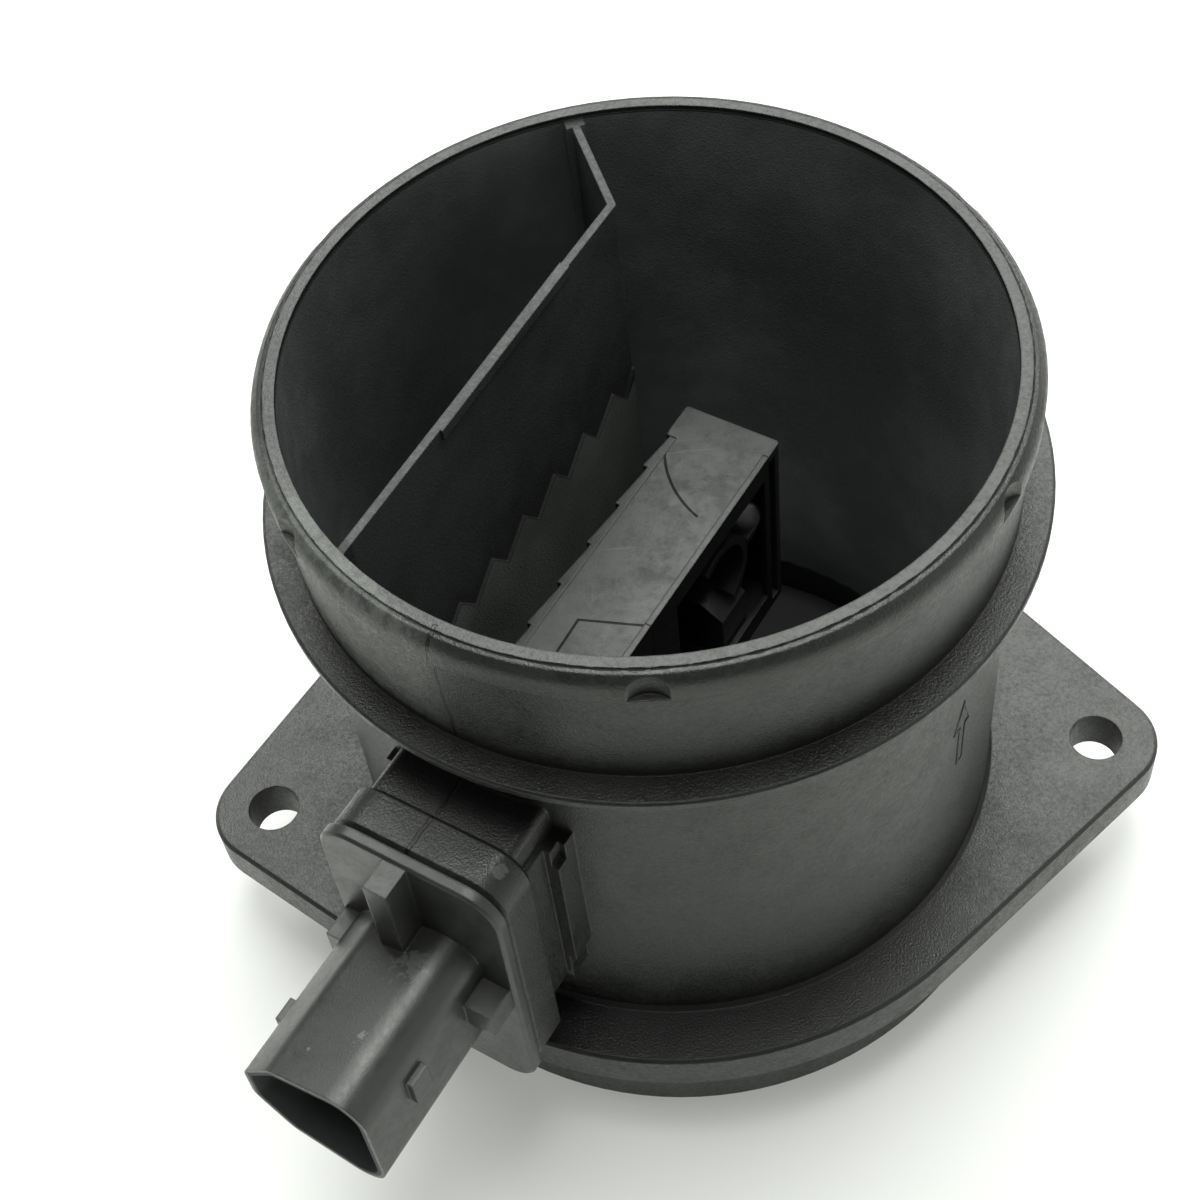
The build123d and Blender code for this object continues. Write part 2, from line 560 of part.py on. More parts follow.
# Cover on the right side of the channel, with its window
with BuildPart() as window_cover:
    with BuildSketch(SIDE.offset(-PROBE_RIGHT_T)) as window_outline:
        box_between((TIP_RIGHT_N, PROBE_LOW_Z), (COVER_SPLIT_N - SEAM_CLEARANCE / 2, PROBE_TOP_Z))
        box_between((TIP_RIGHT_N + WINDOW_MARGIN_TIP, CHAMBER_LOW_Z + WINDOW_MARGIN_Z),
                    (WINDOW_N1, CHAMBER_TOP_Z - WINDOW_MARGIN_Z), mode=Mode.SUBTRACT)
    extrude(amount=COVER_T)
window_cover.part.label = "window_cover"

# Lid over the electronics chamber
with BuildPart() as electronics_lid:
    with BuildSketch(SIDE.offset(-PROBE_RIGHT_T)):
        box_between((COVER_SPLIT_N + SEAM_CLEARANCE / 2, PROBE_LOW_Z),
                    (ROOT_N - SEAM_CLEARANCE, PROBE_TOP_Z))
    extrude(amount=COVER_T)
electronics_lid.part.label = "electronics_lid"

# Metal base plate on the floor of the chamber, and the circuit board on it
with BuildPart() as base_plate:
    with BuildSketch(SIDE.offset(-BOARD_T0)):
        box_between((CHAMBER_N0 + BASE_GAP, CHAMBER_LOW_Z + BASE_GAP),
                    (ROOT_N - BASE_GAP, CHAMBER_TOP_Z - BASE_GAP))
    extrude(amount=BASE_THICK)
base_plate.part.label = "base_plate"

with BuildPart() as circuit_board:
    with BuildSketch(SIDE.offset(-BOARD_T1)):
        box_between((CHAMBER_N0 + BASE_GAP + BOARD_INSET, CHAMBER_LOW_Z + BASE_GAP + BOARD_INSET),
                    (PIN_IN_N - BOARD_INSET, CHAMBER_TOP_Z - BASE_GAP - BOARD_INSET))
    extrude(amount=BOARD_THICK)
circuit_board.part.label = "circuit_board"

with BuildPart() as signal_chip:
    with BuildSketch(SIDE.offset(-BOARD_T1 - CHIP_THICK)):
        with Locations((CHIP_N, CHIP_Z)):
            Rectangle(CHIP_SIZE, CHIP_SIZE)
    extrude(amount=CHIP_THICK)
signal_chip.part.label = "signal_chip"

# Blade that carries the film chip through the partition into the channel
with BuildPart() as chip_carrier:
    with BuildSketch(SIDE.offset(-CARRIER_T1)):
        box_between((CARRIER_N0, CARRIER_Z - CARRIER_HALF_Z), (CARRIER_N1, CARRIER_Z + CARRIER_HALF_Z))
    extrude(amount=CARRIER_THICK)
    with BuildSketch(SIDE.offset(-CARRIER_T1)):
        with Locations((FILM_N, CARRIER_Z)):
            Rectangle(FILM_SIZE + 2 * FILM_CLEARANCE, FILM_SIZE + 2 * FILM_CLEARANCE)
    extrude(amount=FILM_THICK, mode=Mode.SUBTRACT)
chip_carrier.part.label = "chip_carrier"

with BuildPart() as film_chip:
    with BuildSketch(SIDE.offset(-CARRIER_T1)):
        with Locations((FILM_N, CARRIER_Z)):
            Rectangle(FILM_SIZE, FILM_SIZE)
    extrude(amount=FILM_THICK)
film_chip.part.label = "film_chip"

# Contact pins, in a row along the connector, pointed at the outer end
pins = []
for number in range(PIN_COUNT):
    pin_z = SHELL_Z + (number - (PIN_COUNT - 1) / 2) * PIN_PITCH
    with BuildPart() as pin:
        with BuildSketch(FRONT.offset(PIN_IN_N)):
            with Locations((PIN_T, pin_z)):
                Rectangle(PIN_W, PIN_W)
        extrude(amount=PIN_TIP_N - PIN_IN_N)
        pin_end = pin.faces().sort_by(Axis((0, 0, 0), FRONT.z_dir))[-1]
        chamfer(pin_end.edges(), PIN_POINT)
    pin.part.label = f"pin_{number + 1}"
    pins.append(pin.part)

# Air temperature bead in the channel, on two thin leads through the partition
with BuildPart() as temperature_bead:
    with BuildSketch(FRONT.offset(BALL_N0)):
        with Locations((LEAD_T, LEAD_Z)):
            Circle(BALL_R)
    extrude(amount=BALL_N1 - BALL_N0)
    bead_nose = temperature_bead.faces().sort_by(Axis((0, 0, 0), FRONT.z_dir))[0]
    chamfer(bead_nose.edges(), BALL_R / 2)
temperature_bead.part.label = "temperature_bead"

leads = []
for name, side in (("lead_lower", -1), ("lead_upper", 1)):
    with BuildPart() as lead:
        with BuildSketch(FRONT.offset(BALL_N1)):
            with Locations((LEAD_T, LEAD_Z + side * LEAD_GAP / 2)):
                Circle(LEAD_R)
        extrude(amount=LEAD_N1 - BALL_N1)
    lead.part.label = name
    leads.append(lead.part)

finished = [duct_housing, flange_seal, socket_seal, sensor_body, channel_cover, window_cover,
            electronics_lid, base_plate, circuit_board, signal_chip, chip_carrier, film_chip,
            temperature_bead]
for piece in [builder.part for builder in finished] + pins + leads:
    export_step(piece, f"parts/{piece.label}.step")
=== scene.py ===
"""Looks of a mass airflow sensor: plastics, metal pins, lights, floor and camera around its solids.

Everything is in metres in the frame of the solids: the origin on the duct axis at the lower face of the
flange, +Z along the duct, and the two flange holes along X.
"""

from __future__ import annotations

import json
import logging
import math
from dataclasses import dataclass, field
from enum import Enum
from typing import Any, Union

import bpy
import numpy as np
from mathutils import Matrix, Vector

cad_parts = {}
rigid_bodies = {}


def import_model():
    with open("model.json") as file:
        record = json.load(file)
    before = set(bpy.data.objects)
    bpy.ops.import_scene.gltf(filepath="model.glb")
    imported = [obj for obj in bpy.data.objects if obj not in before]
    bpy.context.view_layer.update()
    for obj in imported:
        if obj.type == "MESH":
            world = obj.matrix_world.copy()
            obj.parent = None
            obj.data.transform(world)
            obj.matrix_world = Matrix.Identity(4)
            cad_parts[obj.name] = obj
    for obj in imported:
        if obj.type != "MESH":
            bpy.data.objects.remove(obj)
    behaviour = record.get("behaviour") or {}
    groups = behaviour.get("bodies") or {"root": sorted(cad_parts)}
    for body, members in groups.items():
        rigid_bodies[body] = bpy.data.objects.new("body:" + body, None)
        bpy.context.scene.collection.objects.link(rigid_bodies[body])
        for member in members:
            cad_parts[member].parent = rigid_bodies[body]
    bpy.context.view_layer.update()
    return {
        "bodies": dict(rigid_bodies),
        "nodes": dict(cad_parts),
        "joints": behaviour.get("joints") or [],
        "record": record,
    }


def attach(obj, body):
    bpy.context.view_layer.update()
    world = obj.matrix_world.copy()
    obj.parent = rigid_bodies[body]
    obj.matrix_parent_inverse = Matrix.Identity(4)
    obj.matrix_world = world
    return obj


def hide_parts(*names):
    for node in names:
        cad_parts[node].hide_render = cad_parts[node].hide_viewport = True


MM = 0.001
MERGE_M = 2e-6
BODY = "root"

# Plastics: how far edges look rounded, the tilts between which the paler edge (rubbed wear and painted
# edge highlight) starts and is full, the depth of a groove, how much paler the paled spots are (wear,
# scuffs, dust and painted highlights), and the glossiest that any spot gets.
EDGE_MM = 0.3
EDGE_COSINES = (0.99, 0.86)
GROOVE_MM = 0.08
PALED_TIMES = 5.0
LEAST_ROUGHNESS = 0.3

LOG = logging.getLogger("airflow_sensor")

Number = Union[float, "Val"]
Pair = tuple[float, float]


class Val:
    """A shader socket that carries one number, with Python's operators adding Math nodes."""

    def __init__(self, shop: "Graph", socket: bpy.types.NodeSocket) -> None:
        """Wraps a socket.

        Args:
            shop: the node graph that new nodes are added to.
            socket: the output socket that holds the number.
        """
        self.shop = shop
        self.socket = socket

    def _math(self, operation: str, *others: Number) -> "Val":
        """One Math node with this value first.

        Args:
            operation: the Math node's operation.
            others: further inputs, numbers or values.

        Returns:
            The node's output.
        """
        return self.shop.math(operation, self, *others)

    def __add__(self, other: Number) -> "Val":
        """Sum."""
        return self._math("ADD", other)

    def __radd__(self, other: float) -> "Val":
        """Reflected sum."""
        return self._math("ADD", other)

    def __sub__(self, other: Number) -> "Val":
        """Difference."""
        return self._math("SUBTRACT", other)

    def __rsub__(self, other: float) -> "Val":
        """Reflected difference."""
        return self.shop.math("SUBTRACT", other, self)

    def __mul__(self, other: Number) -> "Val":
        """Product."""
        return self._math("MULTIPLY", other)

    def __rmul__(self, other: float) -> "Val":
        """Reflected product."""
        return self._math("MULTIPLY", other)

    def __truediv__(self, other: Number) -> "Val":
        """Quotient."""
        return self._math("DIVIDE", other)

    def __abs__(self) -> "Val":
        """Size without sign."""
        return self._math("ABSOLUTE")

    def least(self, other: Number) -> "Val":
        """The smaller of two values."""
        return self._math("MINIMUM", other)

    def most(self, other: Number) -> "Val":
        """The larger of two values."""
        return self._math("MAXIMUM", other)

    def root(self) -> "Val":
        """Square root."""
        return self._math("SQRT")

    def wrap(self, period: float) -> "Val":
        """What is left over whole periods, from 0 to the period."""
        return self._math("FLOORED_MODULO", period)

    def whole(self) -> "Val":
        """The whole number below."""
        return self._math("FLOOR")

    def step(self, low: float, high: float) -> "Val":
        """Smooth rise from 0 at low to 1 at high; a low above high gives a fall.

        Args:
            low: value at which the rise starts.
            high: value at which it ends.

        Returns:
            The smooth step.
        """
        flipped = low > high
        first, last = (high, low) if flipped else (low, high)
        rise = self.shop.add(
            "ShaderNodeMapRange",
            {"interpolation_type": "SMOOTHSTEP"},
            {"Value": self, "From Min": first, "From Max": last},
        )
        return 1.0 - rise if flipped else rise

    def band(self, centre: float, half: float, soft: float) -> "Val":
        """1 within half of the centre, falling to 0 over soft."""
        return abs(self - centre).step(half + soft, half)


class Graph:
    """Node graph of one material, with short ways to add its nodes."""

    def __init__(self, name: str) -> None:
        """Makes a material with an empty graph.

        Args:
            name: the material's name.
        """
        self.material = bpy.data.materials.new(name)
        self.material.use_nodes = True
        self.tree = self.material.node_tree
        self.tree.nodes.clear()
        self.output = self.tree.nodes.new("ShaderNodeOutputMaterial")
        self._place = None

    def node(self, kind: str, settings: dict[str, Any], inputs: dict[Any, Any]) -> bpy.types.Node:
        """Adds a node.

        Args:
            kind: the node's type.
            settings: its properties, set before its inputs.
            inputs: its inputs by name or number, as values, sockets or wrapped sockets.

        Returns:
            The node.
        """
        made = self.tree.nodes.new(kind)
        for key, value in settings.items():
            setattr(made, key, value)
        for key, value in inputs.items():
            socket = made.inputs[key]
            if isinstance(value, Val):
                value = value.socket
            if isinstance(value, bpy.types.NodeSocket):
                self.tree.links.new(value, socket)
            else:
                socket.default_value = value
        return made

    def add(self, kind: str, settings: dict[str, Any], inputs: dict[Any, Any], out: Any = 0) -> Val:
        """Adds a node and wraps one of its outputs as a number."""
        return Val(self, self.node(kind, settings, inputs).outputs[out])

    def math(self, operation: str, *values: Number) -> Val:
        """Adds a Math node with its inputs in order."""
        return self.add("ShaderNodeMath", {"operation": operation}, dict(enumerate(values)))

    def place(self) -> bpy.types.NodeSocket:
        """Object coordinates, in metres in the object's frame."""
        if self._place is None:
            self._place = self.node("ShaderNodeTexCoord", {}, {}).outputs["Object"]
        return self._place

    def axes(self) -> tuple[Val, Val, Val]:
        """The three coordinates in millimetres."""
        split = self.node("ShaderNodeSeparateXYZ", {}, {0: self.place()})
        return tuple(Val(self, socket) * 1000.0 for socket in split.outputs)

    def noise(self, per_mm: float, detail: float = 2.0, rough: float = 0.5) -> Val:
        """Noise on Object coordinates.

        Args:
            per_mm: waves in each millimetre.
            detail: octaves.
            rough: share kept from octave to octave.

        Returns:
            The noise, mostly from 0.3 to 0.7.
        """
        return self.add(
            "ShaderNodeTexNoise",
            {},
            {"Vector": self.place(), "Scale": per_mm * 1000.0, "Detail": detail, "Roughness": rough},
        )

    def streaks(self, angle: float, long_mm: float, per_mm: float) -> Val:
        """Noise drawn out along a level direction.

        Args:
            angle: the direction, in degrees from X.
            long_mm: length of a streak.
            per_mm: streaks in each millimetre across.

        Returns:
            The noise.
        """
        turned = self.node(
            "ShaderNodeMapping",
            {},
            {
                "Vector": self.place(),
                "Rotation": (0.0, 0.0, -math.radians(angle)),
                "Scale": (1000.0 / long_mm, per_mm * 1000.0, per_mm * 1000.0),
            },
        )
        return self.add(
            "ShaderNodeTexNoise", {}, {"Vector": turned.outputs[0], "Scale": 1.0, "Detail": 1.0}
        )

    def stretch_from(self, spot: tuple[Val, Val], first: Pair, last: Pair) -> Val:
        """Distance from a line between two points.

        The share of the way along the line is held between 0 and 1, and the distance is taken from there.

        Args:
            spot: the two coordinates.
            first: one end.
            last: the other end.

        Returns:
            The distance.
        """
        run = (last[0] - first[0], last[1] - first[1])
        length2 = run[0] ** 2 + run[1] ** 2
        off = (spot[0] - first[0], spot[1] - first[1])
        share = ((off[0] * run[0] + off[1] * run[1]) / length2).least(1.0).most(0.0)
        return self.span(off[0] - share * run[0], off[1] - share * run[1])

    def fleck(self, spot: tuple[Val, Val], middle: Pair, radius: float) -> Val:
        """A broken spot: 1 where the distance over the radius, with noise added, is under 0.5.

        Args:
            spot: the two coordinates.
            middle: its middle.
            radius: its radius.

        Returns:
            The spot, 0 outside.
        """
        away = self.span(spot[0] - middle[0], spot[1] - middle[1]) / radius
        return (away + 3.0 * (self.noise(0.9, 3.0, 0.7) - 0.45)).step(0.8, 0.5)

    def span(self, first: Val, second: Val) -> Val:
        """Length of two sides at a right angle."""
        return (first * first + second * second).root()

    def tint(self, mask: Number, first: Any, second: Any) -> bpy.types.NodeSocket:
        """Mixes two colours by a mask.

        Args:
            mask: 0 for the first colour, 1 for the second.
            first: a colour of three numbers, or a colour socket.
            second: the same.

        Returns:
            The mixed colour.
        """
        first, second = (
            (*value, 1.0) if isinstance(value, (tuple, list)) else value for value in (first, second)
        )
        mixed = self.node("ShaderNodeMix", {"data_type": "RGBA"}, {0: mask, 6: first, 7: second})
        return mixed.outputs[2]

    def shade(self, colour: bpy.types.NodeSocket, factor: Val) -> bpy.types.NodeSocket:
        """Colour times a number."""
        grey = self.node("ShaderNodeCombineColor", {}, {0: factor, 1: factor, 2: factor})
        return self.multiply(colour, grey.outputs[0], 1.0)

    def multiply(self, colour: bpy.types.NodeSocket, other: Any, share: Number) -> bpy.types.NodeSocket:
        """Colour times another colour, as far as the share says.

        Args:
            colour: the colour.
            other: the colour that it is multiplied by.
            share: 0 for none of it, 1 for all.

        Returns:
            The product.
        """
        settings = {"data_type": "RGBA", "blend_type": "MULTIPLY"}
        return self.node("ShaderNodeMix", settings, {0: share, 6: colour, 7: other}).outputs[2]

    def rounded(self, radius_mm: float) -> bpy.types.NodeSocket:
        """Normal of the surface with its edges rounded."""
        return self.node("ShaderNodeBevel", {"samples": 4}, {"Radius": radius_mm * MM}).outputs[0]

    def edge(self, rounded: bpy.types.NodeSocket) -> Val:
        """How near an edge is: 0 on a face, 1 on the edge.

        Args:
            rounded: the rounded normal, whose tilt from the plain normal is measured.

        Returns:
            The nearness.
        """
        plain_normal = self.node("ShaderNodeNewGeometry", {}, {}).outputs["Normal"]
        product = self.add(
            "ShaderNodeVectorMath", {"operation": "DOT_PRODUCT"}, {0: rounded, 1: plain_normal}, "Value"
        )
        return product.step(*EDGE_COSINES)

    def bump(
        self, height: Val, depth_mm: float, normal: bpy.types.NodeSocket | None = None
    ) -> bpy.types.NodeSocket:
        """Relief from a height of 0 to 1.

        Args:
            height: the height.
            depth_mm: what a height of 1 stands for.
            normal: the normal that it bends, or none for the surface's own.

        Returns:
            The bent normal.
        """
        inputs = {"Height": height, "Strength": 1.0, "Distance": depth_mm * MM}
        if normal is not None:
            inputs["Normal"] = normal
        return self.node("ShaderNodeBump", {}, inputs).outputs[0]

    def finish(self, **inputs: Any) -> bpy.types.Material:
        """Closes the graph with a Principled shader.

        Args:
            inputs: its inputs, by name with underscores for blanks.

        Returns:
            The material.
        """
        named = {key.replace("_", " "): value for key, value in inputs.items()}
        shader = self.node("ShaderNodeBsdfPrincipled", {}, named)
        self.tree.links.new(shader.outputs[0], self.output.inputs["Surface"])
        return self.material


Colour = tuple[float, float, float]

GREENISH = (0.97, 1.0, 0.945, 1.0)
SHADE_TINT = (0.98, 0.965, 1.1, 1.0)

SENSOR_ANGLE = math.radians(-123.8)
OUTWARD = (math.cos(SENSOR_ANGLE), math.sin(SENSOR_ANGLE))
ACROSS = (-math.sin(SENSOR_ANGLE), math.cos(SENSOR_ANGLE))


def along(graph: Graph, direction: Pair, start: Pair = (0.0, 0.0)) -> Val:
    """Distance in millimetres from a point, along a level direction.

    Args:
        graph: the material's graph.
        direction: the direction's x and y.
        start: x and y of the point, in millimetres.

    Returns:
        The distance.
    """
    x, y, _ = graph.axes()
    return (x - start[0]) * direction[0] + (y - start[1]) * direction[1]


class Grain(Enum):
    """Skin of a mould: waves in each millimetre, their depth in millimetres and the grit in its gloss."""

    ERODED = (3.6, 0.08, 0.5)
    FINE = (4.6, 0.02, 0.2)
    SMOOTH = (0.8, 0.006, 0.05)


class Wave(Enum):
    """Noises of a worn plastic: waves in each millimetre, octaves and the share kept between them."""

    CLOUD = (0.05, 3.0, 0.6)
    SMEAR = (0.2, 4.0, 0.6)
    SPECK = (0.9, 4.0, 0.7)
    GRIT = (1.9, 2.0, 0.6)


class Metal(Enum):
    """Base colours of the metals."""

    BRASS = (0.72, 0.52, 0.25)
    TIN = (0.62, 0.61, 0.58)
    ALUMINIUM = (0.66, 0.67, 0.68)


@dataclass
class Marks:
    """What a plastic adds to its plain skin.

    Args:
        tone: factor on the colour, which also carries painted light and shade.
        dull: added to the roughness.
        edge_factor: factor on the paler edges, which stand for rubbed wear and painted edge highlights.
        pale_share: share of the paler tone added on top, for scuffs, dust, nicks and painted highlight patches.
        groove: 1 in a groove, 0 beside it, or none.
        cool: 1 where a cooler painted shade tint is mixed in, or none.
    """

    tone: Number = 1.0
    dull: Number = 0.0
    edge_factor: Number = 1.0
    pale_share: Number = 0.0
    groove: Val | None = None
    cool: Val | None = None


@dataclass(frozen=True)
class Plastic:
    """A moulded plastic.

    Args:
        name: the material's name.
        dark: its darker tone.
        pale: its paler tone.
        roughness: mean roughness.
        grain: the skin of its mould.
        edge_paling: how much paler its edges are, 0 to 1, for rubbed wear and painted edge highlights.
    """

    name: str
    dark: Colour
    pale: Colour
    roughness: float
    grain: Grain
    edge_paling: float = 0.35

    def marks(self, graph: Graph) -> Marks:
        """Marks of its own: none on a plain plastic."""
        return Marks()

    def build(self) -> bpy.types.Material:
        """Makes the material.

        Returns:
            The material: clouds and specks in the tone and the gloss, paler edges for rubbed wear and painted
                edge highlights, and a grained skin.
        """
        graph = Graph(self.name)
        cloud, smear, speck = (graph.noise(*wave.value) for wave in (Wave.CLOUD, Wave.SMEAR, Wave.SPECK))
        per_mm, depth, gloss_grit = self.grain.value
        skin = graph.noise(per_mm, 2.0, 0.55)
        grit = graph.noise(*Wave.GRIT.value) - 0.5
        marks = self.marks(graph)
        colour = graph.tint(cloud.step(0.36, 0.66), self.dark, self.pale)
        # marks.tone also carries painted light and shade: painted fill light and a painted shadow band on the
        # housing, painted fill light in the sensor's socket.
        colour = graph.shade(colour, marks.tone * (0.7 + 0.3 * speck + 0.3 * skin))
        # Painted shade tint: the cooler colour is mixed in where marks.cool is set.
        if marks.cool is not None:
            colour = graph.multiply(colour, SHADE_TINT, marks.cool)
        rounded = graph.rounded(EDGE_MM)
        # Paler edges: rubbed wear, and also painted edge highlights; the paled spots added next hold scuffs,
        # dust, nicks and painted highlight patches.
        paled = graph.edge(rounded) * (0.5 + speck).step(0.75, 1.15) * marks.edge_factor * self.edge_paling
        paled = (paled + marks.pale_share).least(1.0)
        colour = graph.tint(paled, colour, tuple(PALED_TIMES * part for part in self.pale))
        spread = (speck - 0.5) * 0.3 + (smear - 0.5) * 0.3 + (cloud - 0.5) * 0.2 + grit * gloss_grit
        normal = graph.bump(0.85 * skin + 0.15 * speck, depth, rounded)
        if marks.groove is not None:
            normal = graph.bump(1.0 - marks.groove, GROOVE_MM, normal)
        return graph.finish(
            Base_Color=colour,
            Roughness=(self.roughness + spread + marks.dull).most(LEAST_ROUGHNESS),
            Normal=normal,
            Specular_Tint=GREENISH,
        )


@dataclass(frozen=True)
class HousingPlastic(Plastic):
    """The duct's plastic, with a painted shadow band over the divider's teeth, painted fill light in the bore,
    and the line of the mould's parting.

    Args:
        bend: x and y of the divider's bend.
        run: direction of the toothed part, away from the bend.
        first: distance from the bend to the first valley.
        pitch: spacing of the teeth.
        rise: length of a tooth's steep side.
        low_z: height of the valleys.
        high_z: height of the tips.
        bore: radius of the bore.
        lip_r: radius of the trimmed line on the rim.
        tube_r: radius of the tube, a little inside its surface.
        ring_z: middle height of the stop ring.
        rim_z: height of the rim, a little below its top.
        divider_z: height of the divider's top.
        dusty_side: direction of the spigot's dusty side.
        smudged_side: direction of the tube's smudge.
        chip: the chipped spot on the collar, outward and across.
    """

    bend: Pair = (-2.2, 24.9)
    run: Pair = (-0.5372, -0.8434)
    first: float = 2.4
    pitch: float = 7.35
    rise: float = 2.8
    low_z: float = 50.0
    high_z: float = 53.7
    bore: float = 41.0
    lip_r: float = 42.46
    tube_r: float = 42.0
    ring_z: float = 61.9
    rim_z: float = 81.6
    divider_z: float = 81.2
    dusty_side: Pair = (-0.8387, -0.5446)
    smudged_side: Pair = (0.9455, -0.3256)
    chip: Pair = (50.1, 8.8)

    def marks(self, graph: Graph) -> Marks:
        """The painted shadow band over the teeth, the parting line, dust, smudge and chip, and painted fill
        light that makes the bore paler.

        The teeth's height over the run is low + (high - low) times the lesser of w / rise and
        (pitch - w) / (pitch - rise), where w is the run past the last valley.
        """
        x, y, z = graph.axes()
        run = along(graph, self.run, self.bend)
        past = (run - self.first).wrap(self.pitch)
        share = (past / self.rise).least((self.pitch - past) / (self.pitch - self.rise))
        above = z - self.low_z - (self.high_z - self.low_z) * share
        # Painted shadow: band darkens a strip of the divider's plate just above the tooth line.
        band = above.step(-0.1, 0.1) * above.step(5.0, 0.5)
        outward = along(graph, OUTWARD)
        across = along(graph, ACROSS)
        wander = (graph.noise(0.12, 1.0) - 0.5) * 0.8 + (graph.noise(0.8, 2.0) - 0.5) * 0.5
        centre = 0.3 - 1.1 * z.step(56.0, 55.0)
        parting = (across - centre + wander).band(0.0, 0.17, 0.1)
        parting = parting * outward.step(self.tube_r - 0.5, self.tube_r) * (1.0 - z.band(self.ring_z, 1.2, 0.1))
        radius = graph.span(x, y)
        inside = radius.step(self.bore + 0.25, self.bore + 0.05) * z.step(self.rim_z, self.rim_z - 0.5)
        plate = inside * radius.step(39.5, 39.0)
        toothed = plate * run.step(-0.5, 0.5)
        under = above.step(-0.15, -0.35)
        deep = z.step(60.0, 10.0)
        wall = (inside - plate) * (1.0 - z.band(self.divider_z, 0.05, 0.05))
        wall = wall * y.step(-18.0, 8.0) * (0.5 + 0.5 * x.step(-34.0, -8.0))
        # Painted fill light: lift makes the bore wall paler, the far side more so and more towards the bottom,
        # and makes the divider's plate and the plate under the teeth paler; the painted shadow band takes some
        # of it back.
        lift = 1.0 + wall * (9.0 + 16.0 * deep) + 1.4 * plate + toothed * (7.0 * under - 1.6 * band)
        trim = abs(radius - self.lip_r) + 0.5 * (graph.noise(0.6, 3.0) - 0.5)
        trim = trim.step(0.12, 0.03) * z.step(self.rim_z - 0.1, self.rim_z)
        dust = along(graph, self.dusty_side).step(38.5, 42.0) * z.step(self.ring_z + 1.0, self.ring_z + 2.6)
        dust = dust * (0.35 + graph.noise(0.7, 4.0, 0.7).step(0.35, 0.65))
        smudge = along(graph, self.smudged_side).step(self.tube_r - 0.1, self.tube_r + 0.2)
        smudge = smudge * z.band(22.0, 12.0, 5.0) * graph.noise(0.5, 4.0, 0.7).step(0.42, 0.62)
        chip = graph.fleck((outward, across), self.chip, 1.9) * z.step(49.0, 51.0)
        return Marks(
            tone=lift * (1.0 - 0.85 * parting.most(trim)),
            dull=0.25 * inside + 0.3 * band * toothed + 0.1 * dust + 0.4 * trim,
            edge_factor=1.0 - inside,
            pale_share=(0.85 * dust * (1.0 - inside) * (1.0 - parting) + 0.14 * smudge + 0.75 * chip).least(1.0),
            groove=parting.most(trim),
            # Painted shade tint: the cooler colour goes on the bore's inside, except the plate under the teeth.
            cool=inside * (1.0 - toothed * under),
        )


